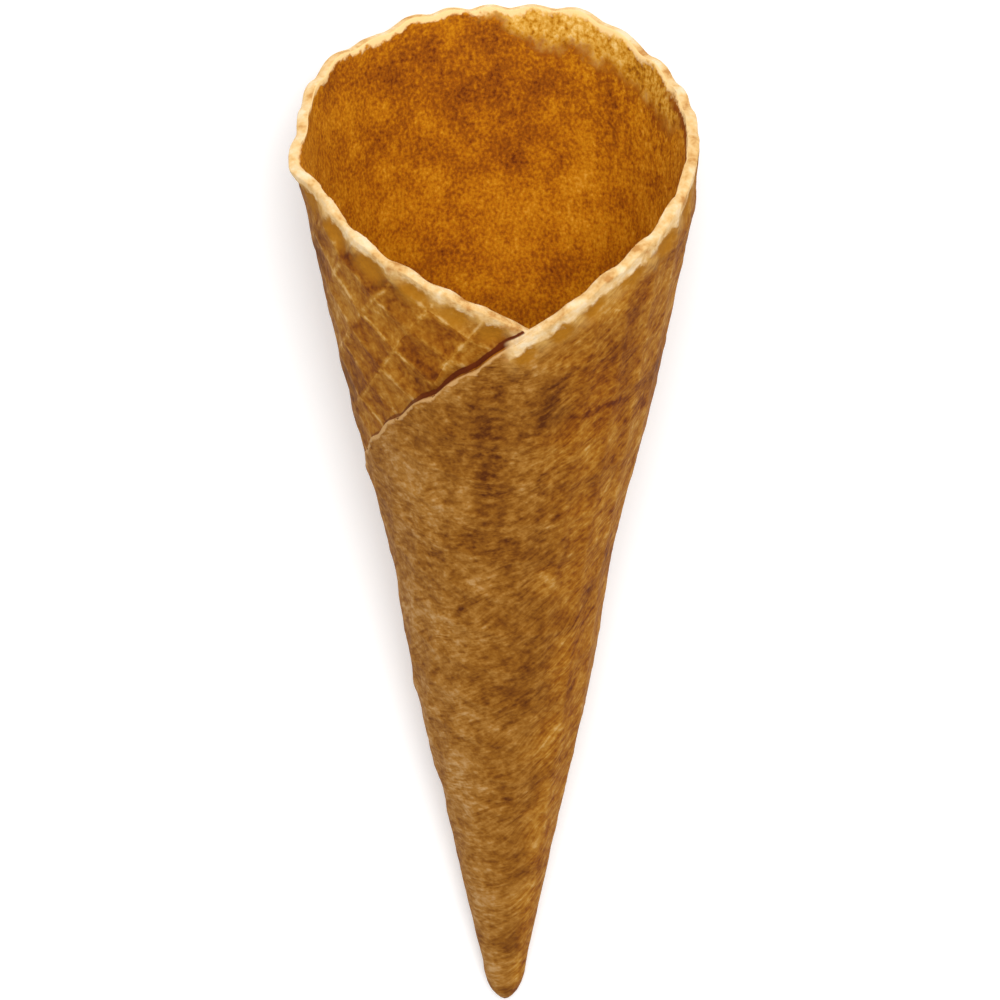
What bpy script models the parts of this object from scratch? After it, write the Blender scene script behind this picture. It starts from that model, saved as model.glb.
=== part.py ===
"""Rolled waffle cone for ice cream, empty, lying on its side with the lapped seam up.

A round waffle with a shallow grid pressed into one face is rolled about a point just
outside its rim. Rolling keeps every distance to that point, so a place on the cone is
given by two numbers: its distance from the point, and the turn, the angle round the
cone's axis from the longest line of the sheet. Turn 0 is the back of the cone, and the
two edges of the first turn meet at plus and minus half a turn, in the V at the front.
Past there the sheet goes on as a wrap on the outside and, the other way, on the inside.
"""

from itertools import chain, pairwise, product
from math import acos, asin, atan2, cos, exp, hypot, pi, radians, sin
from operator import itemgetter

import bmesh
import bpy
from mathutils import Vector
from mathutils.geometry import delaunay_2d_cdt

MM = 0.001

# The flat waffle and the way it is rolled
DISC_RADIUS = 83.0 * MM
POINT_TO_CENTRE = 84.1 * MM
HALF_ANGLE = radians(10.7)
SHEET = 2.0 * MM
V_SHIFT = radians(-8.2)  # the V is this far round from the top of the lying cone

# How far the sheet stands out where it laps over itself
LAP_AT_V = 1.4 * MM
LAP_ROUND = 0.2 * MM
LAP_EASE = radians(80.0)
LAP_FADE = 12.0 * MM

# The rim: humps between the grid's bars, and places where it runs higher or lower
HUMP_PITCH = 7.2 * MM
HUMP_HEIGHT = 0.9 * MM
HUMP_DRIFT = 1.4 * MM
HUMP_DRIFT_LENGTH = 47.0 * MM
HUMP_FADE = radians(25.0)
BACK_LIFT = 1.1 * MM
CORNER_LIFT = 1.5 * MM
CORNER_TURN = radians(33.0)
CORNER_WIDTH = radians(15.0)
NICK_DEPTH = 1.0 * MM
NICK_TURN = radians(-30.0)
NICK_WIDTH = radians(8.0)
LEFT_DROP = 2.0 * MM
LEFT_TURN = radians(-118.0)
LEFT_WIDTH = radians(28.0)
RIGHT_LIFT = 1.1 * MM
RIGHT_TURN = radians(152.0)
RIGHT_WIDTH = radians(15.0)
V_LIFT = 1.0 * MM
V_LIFT_WIDTH = radians(20.0)
RIM_ROUNDING = 0.4 * MM
RIM_STEP = 1.5 * MM

# The rim's two sides turn in, with a lip that sticks out on the left
RIM_TURN_IN = 1.2 * MM
LIP_FLARE = 2.4 * MM
LIP_TURN = radians(-92.0)
LIP_WIDTH = radians(7.0)
LIP_DEPTH = 5.0 * MM

# The cone's two sides swell above the tip and draw in to a waist at half its length
SWELL = 0.65 * MM
SWELL_START = 35.0 * MM
SWELL_LENGTH = 30.0 * MM
WAIST = 1.1 * MM
WAIST_DISTANCE = 91.0 * MM
WAIST_LENGTH = 16.0 * MM

# The pressed grid: bars between shallow cells, straight on the flat waffle
GRID_ANGLE = radians(27.0)
CELL_ACROSS = 5.3 * MM
CELL_ALONG = 7.2 * MM
BAR_ACROSS = 5.5 * MM
BAR_ALONG = 126.3 * MM
BAR_HALF_WIDTH = 1.1 * MM
CELL_DEPTH = 0.28 * MM
FLAP_CELL_DEPTH = 0.5 * MM
FLAP_START = radians(70.0)
FLAP_EASE = radians(50.0)
GRID_START = 34.0 * MM
GRID_MARGIN = 0.9 * MM
GRID_FADE = 2.0 * MM

# The closed tip outside and the end of the hollow inside
TIP_RING = 14.5 * MM
TIP_END = 6.2 * MM
TIP_POWER = 1.7
HOLLOW_RING = 24.0 * MM
HOLLOW_END = 18.5 * MM
HOLLOW_POWER = 2.0
RING_POINTS = 24
DOME_ROWS = 4
OUTER_ROWS = 4

# The smooth inner face needs fewer points than the face with the grid
INNER_LAST = 160.0 * MM
INNER_ROWS = 10
INNER_MARGIN = 3.0 * MM
SHARP_ANGLE = radians(35.0)

# The narrow flat that the cone lies on
FLAT_CUT = 0.25 * MM
FLAT_HALF_TURN = radians(12.0)
FLAT_EASE = radians(10.0)

ROLL = sin(HALF_ANGLE)
SLOPE = cos(HALF_ANGLE)
FULL_TURN = 2.0 * pi
V_TURN = pi


def ease(value):
    """Smooth step from 0 at 0 to 1 at 1."""
    value = min(1.0, max(0.0, value))
    return value * value * (3.0 - 2.0 * value)


def bell(value):
    return exp(-value * value)


def disc_angle(turn):
    """Angle about the disc's centre at which the ray of this turn leaves the disc."""
    angle = turn * ROLL
    return angle + asin(max(-1.0, min(1.0, POINT_TO_CENTRE * sin(angle) / DISC_RADIUS)))


def turn_at_edge(distance):
    """Turn at which the disc's edge is this far from the rolling point."""
    square = POINT_TO_CENTRE**2 + distance**2 - DISC_RADIUS**2
    return acos(square / (2.0 * POINT_TO_CENTRE * distance)) / ROLL


def edge_point(angle):
    """Distance and turn of the sheet's edge at an angle about the disc's centre."""
    u = POINT_TO_CENTRE + DISC_RADIUS * cos(angle)
    v = DISC_RADIUS * sin(angle)
    turn = atan2(v, u) / ROLL
    run = DISC_RADIUS * angle
    run += HUMP_DRIFT * sin(FULL_TURN * run / HUMP_DRIFT_LENGTH)
    hump = abs(sin(pi * run / HUMP_PITCH)) - 0.6
    fade = ease(abs(abs(turn) - V_TURN) / HUMP_FADE)
    reach = ease((hypot(u, v) - HOLLOW_RING) / LAP_FADE)
    lift = V_LIFT * bell((abs(turn) - V_TURN) / V_LIFT_WIDTH)
    if abs(turn) < V_TURN:
        lift += BACK_LIFT * max(0.0, cos(turn)) ** 2
        lift += CORNER_LIFT * bell((turn - CORNER_TURN) / CORNER_WIDTH)
        lift -= NICK_DEPTH * bell((turn - NICK_TURN) / NICK_WIDTH)
        lift -= LEFT_DROP * bell((turn - LEFT_TURN) / LEFT_WIDTH)
        lift += RIGHT_LIFT * bell((turn - RIGHT_TURN) / RIGHT_WIDTH)
    return hypot(u, v) + HUMP_HEIGHT * hump * fade * reach + lift, turn


def lap(turn):
    """How far the sheet's middle lies outside the plain cone, the same both ways round."""
    size = abs(turn)
    if size < V_TURN:
        stand = LAP_AT_V / 2.0 * ease((size - V_TURN + LAP_EASE) / LAP_EASE)
    else:
        settled = ease((size - V_TURN) / LAP_EASE)
        stand = LAP_AT_V / 2.0 + (LAP_ROUND - LAP_AT_V / 2.0) * settled
    return stand if turn > 0.0 else -stand


def sheet_middle(distance, turn, ring):
    """Stand-out of the sheet's middle from the plain cone. The lap fades out at a ring."""
    stand = lap(turn) * ease((distance - ring) / LAP_FADE)
    sides = sin(turn + V_SHIFT) ** 2
    stand += SWELL * ease((distance - SWELL_START) / SWELL_LENGTH) * sides
    stand -= WAIST * bell((distance - WAIST_DISTANCE) / WAIST_LENGTH) * sides
    if abs(turn) < V_TURN:
        rim_distance = edge_point(disc_angle(turn))[0]
        near_rim = ease(1.0 - (rim_distance - distance) / LIP_DEPTH)
        stand -= RIM_TURN_IN * sides * near_rim
        stand += LIP_FLARE * bell((turn - LIP_TURN) / LIP_WIDTH) * near_rim
    return stand


def bar_gap(value, first_bar, pitch):
    """How far a place is from the nearest bar of one family."""
    place = (value - first_bar) % pitch
    return min(place, pitch - place)


def cell_depth(distance, turn):
    """Depth of the pressed grid. It is left out at the edge, near the tip and on the flat."""
    u = distance * cos(turn * ROLL)
    v = distance * sin(turn * ROLL)
    across = v * cos(GRID_ANGLE) - u * sin(GRID_ANGLE)
    along = u * cos(GRID_ANGLE) + v * sin(GRID_ANGLE)
    gap = min(
        bar_gap(across, BAR_ACROSS, CELL_ACROSS),
        bar_gap(along, BAR_ALONG, CELL_ALONG),
    )
    from_edge = DISC_RADIUS - hypot(u - POINT_TO_CENTRE, v)
    side = abs((turn + V_SHIFT + pi) % FULL_TURN - pi)
    flap = ease((-turn - FLAP_START) / FLAP_EASE)
    depth = CELL_DEPTH + (FLAP_CELL_DEPTH - CELL_DEPTH) * flap
    depth *= min(1.0, gap / BAR_HALF_WIDTH)
    depth *= ease(from_edge / GRID_FADE) * ease((distance - GRID_START) / LAP_FADE)
    return depth * ease((side - FLAT_HALF_TURN) / FLAT_EASE)


def lying(radius, height, turn):
    """Point of the lying cone. Its back line is on the floor and its mouth faces +Y."""
    azimuth = turn + V_SHIFT
    side = radius * sin(azimuth)
    down = radius * cos(azimuth)
    y = height * SLOPE + down * ROLL
    z = height * ROLL - down * SLOPE + SHEET / 2.0
    return Vector((side, y, z))


def on_sheet(distance, turn, stand):
    """Point this far from the rolling point, standing out at right angles to the cone."""
    radius = distance * ROLL + stand * SLOPE
    height = distance * SLOPE - stand * ROLL
    return lying(radius, height, turn)


def outline(ring):
    """Angles about the disc's centre along the rim, then along a wrap down to a ring."""
    v_angle = disc_angle(V_TURN)
    end_angle = disc_angle(turn_at_edge(ring))
    rim_steps = 2 * round(DISC_RADIUS * v_angle / RIM_STEP)
    wrap_steps = round(DISC_RADIUS * (end_angle - v_angle) / RIM_STEP)
    rim = [v_angle * (2.0 * step / rim_steps - 1.0) for step in range(rim_steps + 1)]
    span = end_angle - v_angle
    wrap = [v_angle + span * step / wrap_steps for step in range(wrap_steps + 1)]
    return rim, wrap


def grid_places():
    """Places on the flat waffle where a bar, or the foot of one, meets another."""
    reach = POINT_TO_CENTRE + DISC_RADIUS
    rows = round(reach / CELL_ACROSS)
    columns = round(reach / CELL_ALONG)
    offsets = (-BAR_HALF_WIDTH, 0.0, BAR_HALF_WIDTH)
    for row, column in product(range(-rows, rows + 1), range(-columns, columns + 1)):
        for side, end in product(offsets, offsets):
            across = BAR_ACROSS + row * CELL_ACROSS + side
            along = BAR_ALONG + column * CELL_ALONG + end
            u = along * cos(GRID_ANGLE) - across * sin(GRID_ANGLE)
            v = along * sin(GRID_ANGLE) + across * cos(GRID_ANGLE)
            if hypot(u, v) > GRID_START:
                yield hypot(u, v), atan2(v, u) / ROLL


def plain_places(ring, last, rows):
    """Rows of places from a ring to a distance, closer together towards the tip."""
    end_turn = turn_at_edge(ring)
    for row in range(1, rows + 1):
        distance = ring * (last / ring) ** (row / rows)
        shift = 0.5 * (row % 2)
        for step in range(2 * RING_POINTS):
            yield distance, end_turn - FULL_TURN * (step + shift) / RING_POINTS


def clear_places(places, ring, margin):
    """Keeps the places of one face that are covered by no wrap and clear of its outline."""
    end_turn = turn_at_edge(ring)
    for distance, turn in places:
        if not -V_TURN < turn < end_turn or distance < ring + margin:
            continue
        covered = turn + FULL_TURN
        if edge_point(disc_angle(turn))[0] - distance < margin:
            continue
        if covered < end_turn and distance - edge_point(disc_angle(covered))[0] < margin:
            continue
        yield distance, turn


def outside(distance, turn):
    """Point on the face with the grid."""
    stand = SHEET / 2.0 + sheet_middle(distance, turn, TIP_RING)
    return on_sheet(distance, turn, stand - cell_depth(distance, turn))


def inside(distance, turn):
    """Point on the smooth face."""
    return on_sheet(distance, turn, sheet_middle(distance, turn, HOLLOW_RING) - SHEET / 2.0)


def add_face(mesh, ring, places, side, point_at):
    """One face of the rolled sheet. Side is 1 for the outside and -1 for the inside.

    It is triangulated flat, as the sheet lies unrolled, and each point is then put on the
    cone. It returns the points along the rim, along the wrap's edge, along the foot of
    that edge and round the ring.
    """
    rim, wrap = outline(ring)
    steps = len(rim) - 1
    last = steps + len(wrap) - 1
    end_turn = turn_at_edge(ring)
    upper = [edge_point(side * angle) for angle in rim[:-1] + wrap]
    foot = [(distance, turn - side * FULL_TURN) for distance, turn in upper[steps + 1 :]]
    loop = list(upper)
    for step in range(1, RING_POINTS):
        loop.append((ring, side * (end_turn - FULL_TURN * step / RING_POINTS)))
    loop += reversed(foot)
    spots = loop + [(distance, side * turn) for distance, turn in places]

    flat = [Vector((d * cos(t * ROLL), d * sin(t * ROLL))) for d, t in spots]
    edges = [(index, (index + 1) % len(loop)) for index in range(len(loop))]
    triangles, origins = itemgetter(2, 3)(delaunay_2d_cdt(flat, edges, [], 1, 1e-7))
    points = [mesh.verts.new(point_at(distance, turn)) for distance, turn in spots]
    foot_end = last + RING_POINTS
    mesh.verts.remove(points[foot_end])
    points[foot_end] = points[last]
    for triangle in triangles:
        mesh.faces.new([points[origins[corner][0]] for corner in triangle])

    foot_points = [points[0]] + points[len(loop) - 1 : foot_end - 1 : -1]
    return (
        points[: steps + 1],
        points[steps : last + 1],
        foot_points,
        points[last : last + RING_POINTS],
    )


def add_wall(mesh, edge_points, foot_points):
    """The thickness of the sheet that shows along a wrap's edge. It ends in a point."""
    pairs = list(zip(edge_points, foot_points))
    for (edge, foot), (next_edge, next_foot) in pairwise(pairs):
        corners = [edge, next_edge, next_foot, foot]
        mesh.faces.new(list(dict.fromkeys(corners)))


def add_rim(mesh, outer, inner):
    """The rounded cut edge. Its two ends cross in the V, each lapping over the other."""
    angles = outline(TIP_RING)[0][1:-1]
    middle = [inner[-1]]
    for distance, turn in map(edge_point, angles):
        stand = sheet_middle(distance, turn, TIP_RING)
        middle.append(mesh.verts.new(on_sheet(distance + RIM_ROUNDING, turn, stand)))
    middle.append(outer[0])
    for row, next_row in ((outer, middle), (middle, inner)):
        for index in range(len(row) - 1):
            corners = row[index], row[index + 1], next_row[index + 1], next_row[index]
            mesh.faces.new(corners)


def add_dome(mesh, ring_points, ring, stand, end, power):
    """Closes a ring with a blunt dome that ends at a height on the axis."""
    radius = ring * ROLL + stand * SLOPE
    height = ring * SLOPE - stand * ROLL
    end_turn = turn_at_edge(ring)
    side = 1.0 if stand > 0.0 else -1.0
    row = ring_points
    for level in range(1, DOME_ROWS):
        part = level / DOME_ROWS
        shrink = (1.0 - part**power) ** (1.0 / power)
        next_row = []
        for step in range(RING_POINTS):
            turn = side * (end_turn - FULL_TURN * step / RING_POINTS)
            place = lying(radius * shrink, height + (end - height) * part, turn)
            next_row.append(mesh.verts.new(place))
        for index in range(RING_POINTS):
            corners = row[index - 1], row[index], next_row[index], next_row[index - 1]
            mesh.faces.new(corners)
        row = next_row
    pole = mesh.verts.new(lying(0.0, end, 0.0))
    for index in range(RING_POINTS):
        mesh.faces.new((row[index - 1], row[index], pole))


def press_flat(mesh):
    """Cuts the lowest sliver off the underside, which leaves a narrow flat to lie on."""
    parts = mesh.verts[:] + mesh.edges[:] + mesh.faces[:]
    bmesh.ops.bisect_plane(
        mesh,
        geom=parts,
        dist=1e-7,
        plane_co=(0.0, 0.0, FLAT_CUT),
        plane_no=(0.0, 0.0, -1.0),
        clear_outer=True,
    )
    open_edges = [edge for edge in mesh.edges if edge.is_boundary]
    bmesh.ops.holes_fill(mesh, edges=open_edges, sides=0)


def stand_on_origin(mesh):
    """Puts the origin in the middle of the underside of the shape's box."""
    low = Vector([min(point.co[axis] for point in mesh.verts) for axis in range(3)])
    high = Vector([max(point.co[axis] for point in mesh.verts) for axis in range(3)])
    middle = (low + high) / 2.0
    bmesh.ops.translate(mesh, verts=mesh.verts, vec=(-middle.x, -middle.y, -low.z))


def waffle_material():
    material = bpy.data.materials.new("Baked waffle")
    material.use_nodes = True
    shader = material.node_tree.nodes["Principled BSDF"]
    shader.inputs["Base Color"].default_value = (0.36, 0.14, 0.03, 1.0)
    shader.inputs["Roughness"].default_value = 0.75
    shader.inputs["Metallic"].default_value = 0.0
    return material


def waffle_cone():
    mesh = bmesh.new()
    outer_places = chain(plain_places(TIP_RING, GRID_START, OUTER_ROWS), grid_places())
    inner_places = plain_places(HOLLOW_RING, INNER_LAST, INNER_ROWS)
    outer = add_face(
        mesh, TIP_RING, clear_places(outer_places, TIP_RING, GRID_MARGIN), 1, outside
    )
    inner = add_face(
        mesh, HOLLOW_RING, clear_places(inner_places, HOLLOW_RING, INNER_MARGIN), -1, inside
    )
    add_wall(mesh, outer[1], outer[2])
    add_wall(mesh, inner[1], inner[2])
    add_rim(mesh, outer[0], inner[0][::-1])
    add_dome(mesh, outer[3], TIP_RING, SHEET / 2.0, TIP_END, TIP_POWER)
    add_dome(mesh, inner[3], HOLLOW_RING, -SHEET / 2.0, HOLLOW_END, HOLLOW_POWER)
    bmesh.ops.recalc_face_normals(mesh, faces=mesh.faces)
    press_flat(mesh)
    stand_on_origin(mesh)
    bmesh.ops.triangulate(mesh, faces=mesh.faces)

    data = bpy.data.meshes.new("waffle_cone")
    mesh.to_mesh(data)
    mesh.free()
    data.shade_smooth()
    data.set_sharp_from_angle(angle=SHARP_ANGLE)
    data.materials.append(waffle_material())
    bpy.context.collection.objects.link(bpy.data.objects.new("waffle_cone", data))


for old_object in list(bpy.data.objects):
    bpy.data.objects.remove(old_object)
waffle_cone()
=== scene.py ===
"""An empty rolled waffle cone, lying on its side with its lapped seam up."""

from math import cos, pi, radians, sin

import bmesh
import bpy
import numpy as np
from mathutils import Euler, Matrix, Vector


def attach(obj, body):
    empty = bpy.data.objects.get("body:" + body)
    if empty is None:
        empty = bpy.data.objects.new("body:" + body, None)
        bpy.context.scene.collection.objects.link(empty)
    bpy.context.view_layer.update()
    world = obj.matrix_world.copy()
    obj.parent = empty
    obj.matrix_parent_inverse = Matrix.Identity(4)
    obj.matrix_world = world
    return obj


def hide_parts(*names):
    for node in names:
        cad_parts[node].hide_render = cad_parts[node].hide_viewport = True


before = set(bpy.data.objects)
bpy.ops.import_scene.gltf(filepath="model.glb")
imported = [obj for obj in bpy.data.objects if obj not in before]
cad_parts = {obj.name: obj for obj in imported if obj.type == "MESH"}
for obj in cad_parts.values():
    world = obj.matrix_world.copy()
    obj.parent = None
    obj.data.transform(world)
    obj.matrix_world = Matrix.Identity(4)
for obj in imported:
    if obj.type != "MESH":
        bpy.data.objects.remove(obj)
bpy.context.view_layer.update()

# The cone is a round sugar waffle, baked between gridded irons and rolled while it is hot.
# The solid's cells are joined to quads again and divided until bars, lap and rim are
# round. Only the cut edges keep some sharpness. The crust then gets its small blisters.
EDGE_ANGLE = radians(50.0)
EDGE_CREASE = 0.45
SAME_POINT = 1e-6
FLAT_PAIR = radians(40.0)
SQUARE_PAIR = radians(60.0)
ROUNDING_STEPS = 2

bpy.ops.object.select_all(action="DESELECT")
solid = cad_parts["waffle_cone"]
solid.select_set(True)
bpy.context.view_layer.objects.active = solid
bpy.ops.object.duplicate()
waffle = bpy.context.view_layer.objects.active
waffle.name = "rolled_waffle"
waffle.data.name = "rolled_waffle"
waffle.parent = None
for key in list(waffle.keys()):
    del waffle[key]
waffle.data.materials.clear()

bpy.ops.object.mode_set(mode="EDIT")
bpy.ops.mesh.select_all(action="SELECT")
bpy.ops.mesh.remove_doubles(threshold=SAME_POINT)
bpy.ops.mesh.tris_convert_to_quads(face_threshold=FLAT_PAIR, shape_threshold=SQUARE_PAIR)
bpy.ops.object.mode_set(mode="OBJECT")

joined = bmesh.new()
joined.from_mesh(waffle.data)
crease = joined.edges.layers.float.new("crease_edge")
for edge in joined.edges:
    if edge.calc_face_angle(0.0) > EDGE_ANGLE:
        edge[crease] = EDGE_CREASE
joined.to_mesh(waffle.data)
joined.free()

rounding = waffle.modifiers.new("Rounding", "SUBSURF")
rounding.levels = ROUNDING_STEPS
rounding.render_levels = ROUNDING_STEPS
bpy.ops.object.modifier_apply(modifier=rounding.name)

for name, grain_size, depth in (("Blisters", 0.0030, 0.00018), ("Crumb", 0.0011, 0.00010)):
    texture = bpy.data.textures.new(name, "CLOUDS")
    texture.noise_scale = grain_size
    texture.noise_depth = 1
    pressing = waffle.modifiers.new(name, "DISPLACE")
    pressing.texture = texture
    pressing.texture_coords = "LOCAL"
    pressing.strength = depth
    pressing.mid_level = 1.0
    bpy.ops.object.modifier_apply(modifier=pressing.name)
bpy.ops.object.shade_smooth()

# The waffle's surface is unrolled, so that bars, crust and edge colour run over it as they
# did on the flat waffle. The map "flat" holds each corner's place on the flat waffle,
# "edges" how far it is from the waffle's edge and from the foot of the lap, less than 0 up
# the lap's own edge, and "faces" which way it faces, from 1 outside to -1 inside, and the
# turn round the cone from the back.
DISC_RADIUS = 0.0830
POINT_TO_CENTRE = 0.0841
HALF_ANGLE = radians(10.7)
ROLL_POINT = Vector((0.000814, -0.087544, 0.000750))
V_SHIFT = radians(-8.2)
V_LIFT = 0.0010
V_LIFT_WIDTH = radians(20.0)
HUMP_PITCH = 0.0072
HUMP_HEIGHT = 0.0009
HUMP_MIDDLE = 0.6
HUMP_DRIFT = 0.0014
HUMP_DRIFT_LENGTH = 0.047
HUMP_FADE = radians(25.0)
WRAP_END = radians(430.0)
SHEET = 0.0020
LAP_AT_V = 0.0014
LAP_ROUND = 0.0002
LAP_EASE = radians(80.0)
LAP_EDGE = 0.0010
CLEAR_OF_LAP = 0.05
WRAP_MARGIN = 0.00015
FLAT_ON = 0.5
ROLL = sin(HALF_ANGLE)
SLOPE = cos(HALF_ANGLE)
FULL_TURN = 2.0 * pi


def ease(values):
    values = np.clip(values, 0.0, 1.0)
    return values * values * (3.0 - 2.0 * values)


def edge_lean(turns):
    """Angle between the ray of a turn and the line from the disc's centre to its edge."""
    angles = turns * ROLL
    return np.arcsin(np.clip(POINT_TO_CENTRE * np.sin(angles) / DISC_RADIUS, -1.0, 1.0))


def rim_run(turns):
    """Way along the disc's edge, drawn out and pressed together as its humps are."""
    run = DISC_RADIUS * (turns * ROLL + edge_lean(turns))
    return run + HUMP_DRIFT * np.sin(FULL_TURN * run / HUMP_DRIFT_LENGTH)


def edge_distance(turns):
    """Distance from the rolling point to the free edge of a wrap, with its humps."""
    angles = turns * ROLL + edge_lean(turns)
    u = POINT_TO_CENTRE + DISC_RADIUS * np.cos(angles)
    v = DISC_RADIUS * np.sin(angles)
    past_v = np.abs(np.abs(turns) - pi)
    hump = np.abs(np.sin(pi * rim_run(turns) / HUMP_PITCH)) - HUMP_MIDDLE
    lift = V_LIFT * np.exp(-((past_v / V_LIFT_WIDTH) ** 2))
    return np.hypot(u, v) + HUMP_HEIGHT * hump * ease(past_v / HUMP_FADE) + lift


def rolled_places(points):
    """Distance from the rolling point, turn, and how far points stand out from the cone."""
    away = points - np.array(ROLL_POINT)
    height = away[:, 1] * SLOPE + away[:, 2] * ROLL
    down = away[:, 1] * ROLL - away[:, 2] * SLOPE
    radius = np.hypot(away[:, 0], down)
    turns = (np.arctan2(away[:, 0], down) - V_SHIFT + pi) % FULL_TURN - pi
    return radius * ROLL + height * SLOPE, turns, radius * SLOPE - height * ROLL


def up_the_lap(stands, turns):
    """Part of the way up the lap's own edge, from 0 at its foot to 1 at its top."""
    past_v = (turns + pi) / LAP_EASE
    foot = (SHEET - LAP_AT_V * ease(1.0 - past_v)) / 2.0
    top = (SHEET + LAP_AT_V) / 2.0 + (LAP_ROUND - LAP_AT_V / 2.0) * ease(past_v)
    return np.clip((stands - foot) / (top - foot), 0.0, 1.0)


def outward(turns):
    """Directions at right angles to the cone, away from its axis."""
    azimuths = turns + V_SHIFT
    tilt = ROLL * SLOPE * (np.cos(azimuths) - 1.0)
    down = ROLL**2 + SLOPE**2 * np.cos(azimuths)
    return np.stack([SLOPE * np.sin(azimuths), tilt, -down], axis=1)


def read(items, name, columns, kind=np.float32):
    values = np.empty(len(items) * columns, dtype=kind)
    items.foreach_get(name, values)
    return values.reshape(-1, columns) if columns > 1 else values


mesh = waffle.data
points = read(mesh.vertices, "co", 3).astype(float)
distance, turn, stand = rolled_places(points)
facing = (read(mesh.vertices, "normal", 3) * outward(turn)).sum(axis=1)

# The rim's own line, as the highest point in each degree round the mouth
degrees_round = np.arange(-180, 180)
bins = np.clip(np.floor(np.degrees(turn)).astype(int) + 180, 0, 359)
rim_line = np.zeros(360)
np.maximum.at(rim_line, bins, distance)

corner_points = read(mesh.loops, "vertex_index", 1, np.int32)
face_centres = read(mesh.polygons, "center", 3).astype(float)
face_distance, face_turn = rolled_places(face_centres)[:2]
face_facing = (read(mesh.polygons, "normal", 3) * outward(face_turn)).sum(axis=1)
turn_over = face_turn + FULL_TURN
turn_under = face_turn - FULL_TURN
wrapped = (turn_over < WRAP_END) & (face_distance < edge_distance(turn_over) - WRAP_MARGIN)
tucked = (turn_under > -WRAP_END) & (face_distance < edge_distance(turn_under) - WRAP_MARGIN)
layer = (wrapped & (face_facing > FLAT_ON)).astype(int) - (tucked & (face_facing < -FLAT_ON))
corner_count = read(mesh.polygons, "loop_total", 1, np.int32)
layer = np.repeat(layer, corner_count)
steep = np.repeat(np.abs(face_facing) < FLAT_ON, corner_count)
face_turn = np.repeat(face_turn, corner_count)

corner_distance = distance[corner_points]
corner_turn = turn[corner_points]
corner_turn = corner_turn + FULL_TURN * np.round((face_turn - corner_turn) / FULL_TURN)
rim_distance = np.interp(np.degrees(corner_turn), degrees_round + 0.5, rim_line)
from_lap = np.where(
    (layer == 0) & (corner_turn + FULL_TURN < WRAP_END),
    corner_distance - edge_distance(corner_turn + FULL_TURN),
    CLEAR_OF_LAP,
)
climb = up_the_lap(stand[corner_points], corner_turn)
from_lap = np.where(steep & (np.abs(from_lap) < LAP_EDGE), -climb * LAP_EDGE, from_lap)
corner_turn = corner_turn + FULL_TURN * layer
rim_distance = np.where(layer == 0, rim_distance, edge_distance(corner_turn))
from_edge = (rim_distance - corner_distance) * np.cos(edge_lean(corner_turn))
swing = corner_turn * ROLL
for name, first, second in (
    ("flat", corner_distance * np.cos(swing), corner_distance * np.sin(swing)),
    ("edges", from_edge, from_lap),
    ("faces", facing[corner_points], corner_turn / FULL_TURN),
):
    columns = np.stack([first, second], axis=1).ravel()
    mesh.uv_layers.new(name=name).data.foreach_set("uv", columns.astype(np.float32))

# Batter that swelled less where a bar met the rim left shallow ovals between the humps.
# The underside is flat where the cone lies.
DENT_DEPTH = 0.00035
DENT_FROM_EDGE = 0.0029
DENT_HALF_WIDTH = 0.0026
DENT_HALF_HEIGHT = 0.0020
DENT_PHASE = 0.13
DENT_REACH = 1.4

own_rim = np.interp(np.degrees(turn), degrees_round + 0.5, rim_line)
below_rim = (own_rim - distance) * np.cos(edge_lean(turn))
phase = np.abs(rim_run(turn)) / HUMP_PITCH + DENT_PHASE
beside_dent = (phase - np.round(phase)) * HUMP_PITCH
oval = np.hypot(beside_dent / DENT_HALF_WIDTH, (below_rim - DENT_FROM_EDGE) / DENT_HALF_HEIGHT)
dent = DENT_DEPTH * ease(DENT_REACH - oval) * (facing > FLAT_ON)
points -= outward(turn) * dent[:, None]
points[:, 2] = np.maximum(points[:, 2], 0.0)
mesh.vertices.foreach_set("co", points.ravel())
mesh.update()

# Baked batter is mottled: brown where it lay against the iron, tan where it swelled away
# from it, with fibres that run round the cone. The bars are thin and pale, the cut edge is
# cream, and the inside, which lay on the smooth iron, is a warm brown with fine pores.
MM = 0.001
OUTSIDE_LIGHT = 1.3
INSIDE_LIGHT = 0.95
RIM_LIGHT = 1.2
CRUST_ROUGHNESS = 0.85
CRUST_GLOSS = 0.15
PIT_STRENGTH = 0.5
PIT_DEPTH = 0.5 * MM


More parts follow.
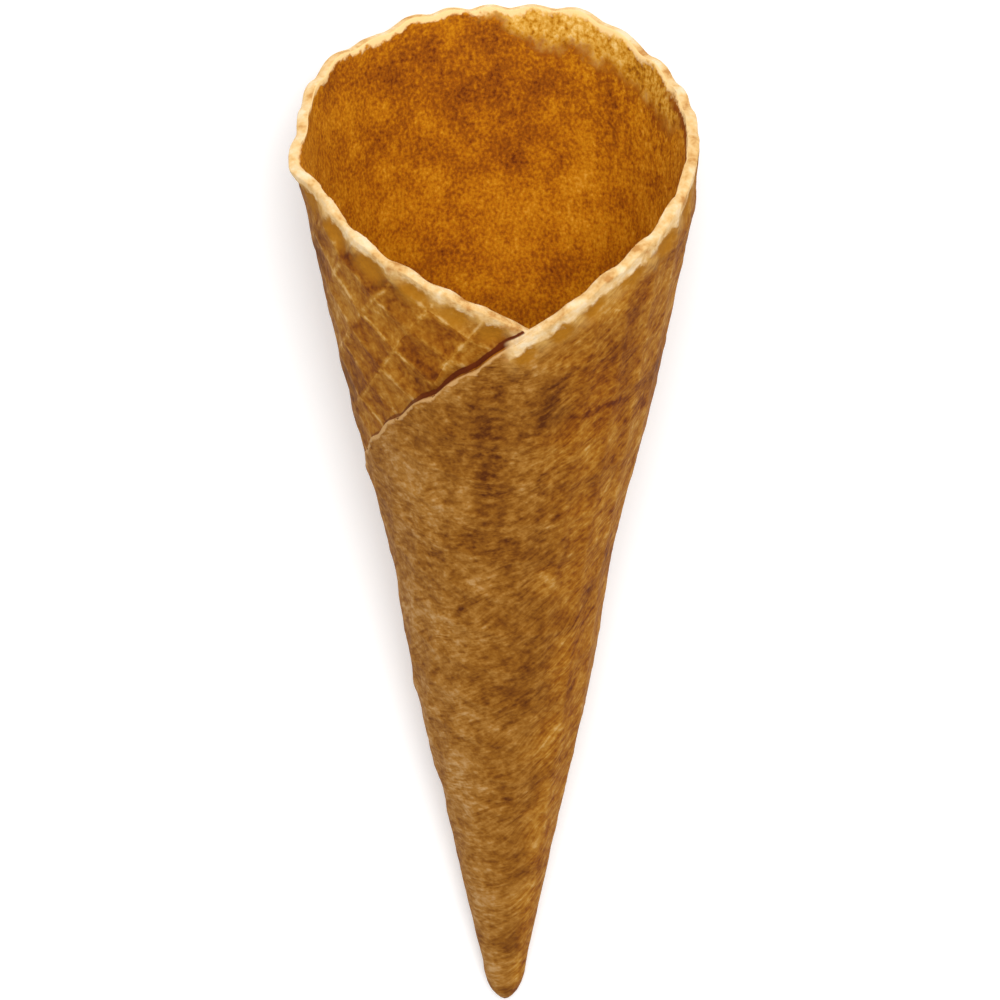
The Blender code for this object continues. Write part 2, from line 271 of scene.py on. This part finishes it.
class Field:
    """A socket whose value varies over the surface. Its operators add Math nodes."""

    def __init__(self, tree, socket):
        self.tree = tree
        self.socket = socket

    def node(self, kind, settings, values):
        """Adds a node to the tree, with its settings made before its sockets are filled."""
        made = self.tree.nodes.new(kind)
        for name, value in settings.items():
            if name == "stops":
                ramp = made.color_ramp
                while len(ramp.elements) < len(value):
                    ramp.elements.new(1.0)
                for element, (place, colour) in zip(ramp.elements, value):
                    element.position = place
                    element.color = (*colour, 1.0)
            else:
                setattr(made, name, value)
        for name, value in values.items():
            if isinstance(value, Field):
                self.tree.links.new(value.socket, made.inputs[name])
            else:
                made.inputs[name].default_value = value
        return made

    def field(self, kind, settings, values, output=0):
        return Field(self.tree, self.node(kind, settings, values).outputs[output])

    def math(self, operation, *values):
        return self.field("ShaderNodeMath", {"operation": operation}, dict(enumerate(values)))

    def __add__(self, other):
        return self.math("ADD", self, other)

    def __sub__(self, other):
        return self.math("SUBTRACT", self, other)

    def __mul__(self, other):
        return self.math("MULTIPLY", self, other)

    def __truediv__(self, other):
        return self.math("DIVIDE", self, other)

    def __rsub__(self, other):
        return self.math("SUBTRACT", other, self)

    __radd__ = __add__
    __rmul__ = __mul__

    def root(self):
        return self.math("SQRT", self)

    def sine(self):
        return self.math("SINE", self)

    def size(self):
        return self.math("ABSOLUTE", self)

    def whole(self):
        return self.math("FLOOR", self)

    def fold(self, half):
        """Distance to the nearest whole number of twice this half."""
        return self.math("PINGPONG", self, half)

    def least(self, other):
        return self.math("MINIMUM", self, other)

    def most(self, other):
        return self.math("MAXIMUM", self, other)

    def angle_over(self, level):
        """Angle of the line that rises by this field while it runs along the level one."""
        return self.math("ARCTAN2", self, level)

    def step(self, low, high):
        """Rises smoothly from 0 at low to 1 at high, or falls where low is the larger."""
        ends = {"From Min": low, "From Max": high}
        return self.field(
            "ShaderNodeMapRange", {"interpolation_type": "SMOOTHSTEP"}, {"Value": self, **ends}
        )

    def within(self, low, high, soft):
        """1 between low and high, with soft ends."""
        return self.step(low - soft, low + soft) * self.step(high + soft, high - soft)

    def near(self, place, half_width):
        """1 at a place, and falls to 0 at half the width of the mark from it."""
        return (self - place).size().step(half_width, half_width * 0.3)

    def joined(self, other):
        """A vector of this field and another."""
        return self.field("ShaderNodeCombineXYZ", {}, {"X": self, "Y": other})

    def noise(self, scale, detail=2.0, roughness=0.5):
        """Noise on a vector field, from about -0.25 to 0.25."""
        values = {"Vector": self, "Scale": scale, "Detail": detail, "Roughness": roughness}
        return self.field("ShaderNodeTexNoise", {}, values) - 0.5

    def tones(self, *stops):
        """Colours along a ramp, each stop with its place."""
        return self.field("ShaderNodeValToRGB", {"stops": stops}, {0: self})

    def blend(self, first, second):
        """Mixes two colours, with this field as the share of the second."""
        mixed = self.node(
            "ShaderNodeMix", {"data_type": "RGBA", "clamp_factor": True}, {"Factor": self}
        )
        for socket, value in zip((mixed.inputs[6], mixed.inputs[7]), (first, second)):
            if isinstance(value, Field):
                self.tree.links.new(value.socket, socket)
            else:
                socket.default_value = (*value, 1.0)
        return Field(self.tree, mixed.outputs[2])


def seen_as(red, green, blue, light=OUTSIDE_LIGHT):
    """A surface colour from the tone that the studio's light gives it, from 0 to 255."""
    parts = [part / 255.0 for part in (red, green, blue)]
    linear = [p / 12.92 if p <= 0.04045 else ((p + 0.055) / 1.055) ** 2.4 for p in parts]
    return [min(1.0, part / light) for part in linear]


def seen_inside(red, green, blue):
    return seen_as(red, green, blue, INSIDE_LIGHT)


crust = bpy.data.materials.new("Baked waffle")
crust.use_nodes = True
tree = crust.node_tree
surface = tree.nodes["Principled BSDF"]
start = Field(tree, None)
maps = {}
for name in ("flat", "edges", "faces"):
    maps[name] = start.field("ShaderNodeUVMap", {"uv_map": name}, {}, "UV")
    parts = start.node("ShaderNodeSeparateXYZ", {}, {"Vector": maps[name]})
    maps[name, 0] = Field(tree, parts.outputs[0])
    maps[name, 1] = Field(tree, parts.outputs[1])
flat = maps["flat"]
along_u = maps["flat", 0]
along_v = maps["flat", 1]
from_rim = maps["edges", 0]
from_seam = maps["edges", 1]
outer = maps["faces", 0]
turned = maps["faces", 1]

# Mottling on the flat waffle, from broad blotches to grain, and crumb through its thickness
blotches = flat.noise(90.0, 3.0)
clouds = flat.noise(190.0, 2.0)
patches = flat.noise(330.0, 3.0, 0.6)
crumb = flat.noise(900.0, 2.0)
grain = flat.noise(1900.0, 1.0)
solid_place = start.field("ShaderNodeTexCoord", {}, {}, "Object")
torn_crumb = solid_place.noise(330.0, 3.0, 0.65)

# Which part of the waffle it is, with the turns given in whole turns from the back
inner = outer.step(0.1, -0.1)
on_wrap = turned.size().step(0.51, 0.525)
on_edge = outer.size().step(0.85, 0.45)
cut = on_edge * from_rim.step(4.0 * MM, 2.5 * MM)
flap = turned.step(-0.22, -0.33) * (1.0 - on_wrap)
right_side = turned.within(0.27, 0.46, 0.07)
ragged = from_rim + patches * 3.0 * MM + crumb * 1.5 * MM

# The grid's bars, straight on the flat waffle, and a tone for each cell
GRID_ANGLE = radians(27.0)
CELL_ACROSS = 5.3 * MM
CELL_ALONG = 7.2 * MM
BAR_ACROSS = 5.5 * MM
BAR_ALONG = 126.3 * MM

across = along_v * cos(GRID_ANGLE) - along_u * sin(GRID_ANGLE) + blotches * 2.0 * MM - BAR_ACROSS
along = along_u * cos(GRID_ANGLE) + along_v * sin(GRID_ANGLE) - blotches * 2.5 * MM - BAR_ALONG
gap = across.fold(CELL_ACROSS / 2.0).least(along.fold(CELL_ALONG / 2.0))
bar = (gap + patches * 0.5 * MM).step(0.65 * MM, 0.1 * MM)
cell = (across / CELL_ACROSS).whole().joined((along / CELL_ALONG).whole())
cell_tone = cell.field("ShaderNodeTexWhiteNoise", {}, {"Vector": cell}) - 0.5

# Fibres run round the cone, and rise to the right on the right side and low down
ray = (along_u * along_u + along_v * along_v).root()
to_the_right = (0.5 - turned) * ray * (FULL_TURN * ROLL)
rise = to_the_right.most(0.0) * 0.5 + to_the_right * ray.step(110.0 * MM, 75.0 * MM) * 0.4
level = ray - rise + flat.noise(70.0, 1.0) * 8.0 * MM
way_round = along_v.angle_over(along_u) * ray
fibres = (level * 1400.0).joined(way_round * 560.0).noise(1.0, 2.0, 0.6)
dashes = (level * 700.0).joined(way_round * 260.0).noise(1.0, 1.0).step(0.1, 0.2)

# The outside: brown crust, warmer on the flap and on the right side
BARE_TONES = (
    (0.22, seen_as(94, 43, 0)),
    (0.38, seen_as(132, 75, 8)),
    (0.50, seen_as(157, 98, 22)),
    (0.64, seen_as(184, 126, 50)),
    (0.82, seen_as(212, 164, 104)),
)
WARM_TONES = (
    (0.22, seen_as(104, 42, 0)),
    (0.38, seen_as(148, 79, 0)),
    (0.50, seen_as(174, 107, 16)),
    (0.64, seen_as(198, 137, 46)),
    (0.82, seen_as(228, 180, 108)),
)
RIM_TONES = (
    (0.28, seen_as(206, 146, 78, RIM_LIGHT)),
    (0.42, seen_as(234, 188, 120, RIM_LIGHT)),
    (0.56, seen_as(246, 208, 150, RIM_LIGHT)),
    (0.72, seen_as(252, 226, 184, RIM_LIGHT)),
)
TAN = seen_as(226, 174, 92)
PINKISH = seen_as(230, 180, 116)
OVAL_BROWN = seen_as(184, 120, 20)
SHADED = seen_as(104, 40, 0)

tone = 0.5 + blotches * 0.45 + patches * 0.6 + crumb * 0.4 + grain * 0.2
tone = tone + fibres * (0.45 + clouds * 0.9 - flap * 0.3) - dashes * 0.07 * (1.0 - flap)
tone = tone + cell_tone * (0.05 + flap * 0.15) + turned.within(0.58, 0.8, 0.05) * 0.08
tone = tone + bar * (0.02 + flap * (0.03 + clouds.step(-0.07, 0.1) * 0.13 + patches * 0.7))

# The crust is darker under the rim at the right, and paler low down and at the flap's foot
below_rim_right = turned.within(0.39, 0.49, 0.03) * ray.within(118.0 * MM, 135.0 * MM, 5.0 * MM)
low_flap = flap * ray.step(136.0 * MM, 126.0 * MM)
tone = tone - below_rim_right * 0.09 + low_flap * 0.04 + ray.step(75.0 * MM, 50.0 * MM) * 0.035

# Two rows of dark dashes, painted shade of the cells' edges, a pale bar under the V, and a line of
# painted shade for a crease at the right
LEFT_ROW = 0.535
RIGHT_ROW = 0.479
PALE_BAR = 0.494
CREASE_RAY = 124.0 * MM
HALF_RUNG = 0.9 * MM

shadow_rungs = (ray + patches * 2.4 * MM).fold(HALF_RUNG).step(0.1 * MM, 0.85 * MM) + clouds * 1.5 + 0.25
shadow_rows = turned.near(LEFT_ROW, 0.023) * ray.within(104.0 * MM, 133.0 * MM, 5.0 * MM)
shadow_rows = shadow_rows.most(turned.near(RIGHT_ROW, 0.009) * ray.within(101.0 * MM, 129.0 * MM, 5.0 * MM) * 0.5)
pale_bar = turned.near(PALE_BAR, 0.006) * ray.within(128.5 * MM, 138.0 * MM, 1.0 * MM)
# The crease is a dark line of painted shade along its place.
crease = (ray + patches * 4.0 * MM).near(CREASE_RAY, 0.8 * MM) * turned.within(0.39, 0.45, 0.015)
tone = tone - shadow_rows * shadow_rungs * 0.12 + pale_bar * 0.12 - crease * 0.15
warmth = flap.most(right_side) * 0.8 + blotches * 1.5
crust_tone = warmth.step(0.1, 0.9).blend(tone.tones(*BARE_TONES), tone.tones(*WARM_TONES))

# The cream edge reaches further down between the ovals under the rim
run = along_v.angle_over(along_u - POINT_TO_CENTRE) * DISC_RADIUS
run = run + (run * (FULL_TURN / HUMP_DRIFT_LENGTH)).sine() * HUMP_DRIFT
beside = (run.size() + DENT_PHASE * HUMP_PITCH).fold(HUMP_PITCH / 2.0) + patches * 2.5 * MM
wide = beside / DENT_HALF_WIDTH
high = (ragged - DENT_FROM_EDGE) / DENT_HALF_HEIGHT
web = (wide * wide + high * high).root().step(0.55, 1.25)
rim_tone = (0.5 + torn_crumb * 1.3 + clouds * 0.3).tones(*RIM_TONES)
below_v = turned.within(0.43, 0.5, 0.04)
front_right = turned.within(0.31, 0.5, 0.04)
webs = ragged.step(5.4 * MM, 3.2 * MM) * front_right * 0.7
webs = webs.most(ragged.step(3.2 * MM, 2.0 * MM) * 0.75)
webs = webs.most(below_v * ragged.step(4.6 * MM, 3.2 * MM))
webs = webs * (0.85 + crumb * 1.2 + fibres * 1.5)
unlapped = 1.0 - on_wrap
crust_tone = ((1.0 - web) * unlapped * 0.75).blend(crust_tone, OVAL_BROWN)
crust_tone = (webs * web * unlapped).blend(crust_tone, TAN)
cream = (ragged - front_right * 0.6 * MM).step(2.0 * MM, 1.1 * MM)
crust_tone = (cream * unlapped).blend(crust_tone, rim_tone)
crust_tone = (ragged.step(0.8 * MM, 0.3 * MM) * on_wrap * 0.8).blend(crust_tone, PINKISH)

# The crevice at the lap's foot is painted shade, dark near the V and thin round the side, and near
# the V a soft painted shadow spreads from it over the flap. The lap's own edge has painted shade
# low down and is paler above.
near_v = turned.step(-0.28, -0.44)
crevice_shade = (from_seam + patches * 0.8 * MM - near_v * 0.32 * MM).step(0.4 * MM, 0.05 * MM)
crevice_shade = crevice_shade * (from_seam + crumb * 0.8 * MM).step(-0.75 * MM, -0.45 * MM)
pale_edge = (from_seam + torn_crumb * 0.8 * MM).step(-0.4 * MM, -0.8 * MM)
shade = (from_seam + patches * 2.0 * MM).step(2.2 * MM, 0.2 * MM) * near_v * 0.35
crust_tone = shade.most(crevice_shade * (0.6 + near_v * 0.4)).blend(crust_tone, SHADED)
crust_tone = (pale_edge * 0.7).blend(crust_tone, PINKISH)

# The inside: warm brown with golden clouds and pores, redder below the rim's high corner
INSIDE_TONES = (
    (0.20, seen_inside(104, 44, 0)),
    (0.40, seen_inside(152, 82, 0)),
    (0.50, seen_inside(176, 104, 0)),
    (0.62, seen_inside(196, 126, 8)),
    (0.82, seen_inside(224, 160, 54)),
)
CORNER_TONES = (
    (0.26, seen_inside(140, 80, 4)),
    (0.40, seen_inside(186, 124, 18)),
    (0.54, seen_inside(214, 162, 66)),
    (0.72, seen_inside(238, 202, 126)),
)
RED_BROWN = seen_inside(128, 56, 0)
INSIDE_CREAM = seen_inside(238, 202, 140)

upper_right = turned.within(0.1, 0.27, 0.07) * from_rim.step(24.0 * MM, 7.0 * MM)
pores = 0.535 + blotches * 0.4 + clouds * 0.45 + crumb * (0.4 + upper_right * 0.3) + grain * 0.5
top = turned.size().step(0.2, 0.03) * from_rim.step(40.0 * MM, 12.0 * MM)
deep = ray.step(137.0 * MM, 127.0 * MM)
pores = pores - upper_right * 0.04 - top * 0.135 - deep * 0.07
pores = pores + turned.within(0.22, 0.46, 0.05) * 0.05
inside_tone = (pores + turned.within(-0.46, -0.2, 0.05) * 0.03).tones(*INSIDE_TONES)
corner = turned.within(0.03, 0.23, 0.03)
torn = from_rim + patches * 5.0 * MM + crumb * 4.0 * MM + grain * 2.0 * MM
inside_tone = ((torn - corner * 9.0 * MM).step(0.0, -3.0 * MM) * 0.6).blend(inside_tone, RED_BROWN)
corner_tone = 0.52 + clouds * 0.5 + crumb * 0.7 + grain * 0.4 - turned.step(0.09, 0.13) * 0.08
band = (torn - corner * 5.6 * MM).step(1.6 * MM, -1.6 * MM)
inside_tone = band.blend(inside_tone, corner_tone.tones(*CORNER_TONES))
edge_line = turned.within(0.2, 0.46, 0.03).most(turned.within(-0.48, -0.36, 0.03) * 0.6)
inside_tone = (ragged.step(3.0 * MM, 1.8 * MM) * edge_line * 0.85).blend(inside_tone, RED_BROWN)
inside_edge = ragged.step(1.3 * MM, 0.6 * MM) * unlapped
inside_tone = inside_edge.blend(inside_tone, INSIDE_CREAM)

whole = (cut * unlapped).blend(inner.blend(crust_tone, inside_tone), rim_tone)
tree.links.new(whole.socket, surface.inputs["Base Color"])
surface.inputs["Roughness"].default_value = CRUST_ROUGHNESS
surface.inputs["Specular IOR Level"].default_value = CRUST_GLOSS
height = (patches * 0.7 + crumb * 0.6 + fibres * 0.3 + grain * 0.3) * (1.0 - inner * 0.6)
pitting = start.node(
    "ShaderNodeBump", {}, {"Strength": PIT_STRENGTH, "Distance": PIT_DEPTH, "Height": height}
)
tree.links.new(pitting.outputs[0], surface.inputs["Normal"])

waffle.data.materials.append(crust)
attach(waffle, "root")
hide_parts("waffle_cone")

# The table top is plain white acrylic, lit a little from beneath. The rest of the light is
# a pale room, with a large soft lamp over the mouth and a weaker one at the front right.
BOARD_SIZE = 6.0
BOARD_WHITE = (0.95, 0.95, 0.95, 1.0)
BOARD_ROUGHNESS = 0.9
BOARD_GLOW = 0.16
PURE_WHITE = (1.0, 1.0, 1.0, 1.0)
ROOM_LIGHT = 0.5

bpy.ops.object.select_all(action="DESELECT")
bpy.ops.mesh.primitive_plane_add(size=BOARD_SIZE)
table_top = bpy.context.view_layer.objects.active
table_top.name = "table_top"
board = bpy.data.materials.new("White acrylic")
board.use_nodes = True
board_surface = board.node_tree.nodes["Principled BSDF"]
board_surface.inputs["Base Color"].default_value = BOARD_WHITE
board_surface.inputs["Roughness"].default_value = BOARD_ROUGHNESS
board_surface.inputs["Emission Color"].default_value = PURE_WHITE
board_surface.inputs["Emission Strength"].default_value = BOARD_GLOW
table_top.data.materials.append(board)

room = bpy.data.worlds.new("Pale room")
room.use_nodes = True
room.node_tree.nodes["Background"].inputs["Color"].default_value = PURE_WHITE
room.node_tree.nodes["Background"].inputs["Strength"].default_value = ROOM_LIGHT
bpy.context.scene.world = room

for name, place, size, power in (
    ("lamp_over_the_mouth", (0.05, 0.6, 1.1), 0.9, 13.0),
    ("lamp_at_the_right", (0.5, -0.5, 1.0), 0.6, 2.0),
):
    bpy.ops.object.light_add(type="AREA", location=place)
    lamp = bpy.context.view_layer.objects.active
    lamp.name = name
    lamp.data.shape = "DISK"
    lamp.data.size = size
    lamp.data.energy = power
    lamp.rotation_euler = Vector(place).to_track_quat("Z", "Y").to_euler()

# The camera sees the cone as it would stand upright: from its front and from above, and
# turned a little, as the cone leans in the picture.
PIXEL = 0.000155
CAMERA_DOWN = radians(27.25) - HALF_ANGLE
CAMERA_TURN = radians(-0.35)
CAMERA_SIDE = -1.8 * PIXEL
CAMERA_UP = 553.9 * PIXEL
CAMERA_AWAY = 6228.9 * PIXEL
LENS = 216.0
SEES_TO = 20.0

leant = Euler((-CAMERA_DOWN, 0.0, 0.0)).to_matrix()
eye = ROLL_POINT + leant @ Vector((CAMERA_SIDE, CAMERA_UP, CAMERA_AWAY))
looking = (leant @ Euler((0.0, 0.0, CAMERA_TURN)).to_matrix()).to_euler()
bpy.ops.object.camera_add(location=eye, rotation=looking)
camera = bpy.context.view_layer.objects.active
camera.data.lens = LENS
camera.data.clip_end = SEES_TO
bpy.context.scene.camera = camera
bpy.context.scene.view_settings.view_transform = "Standard"
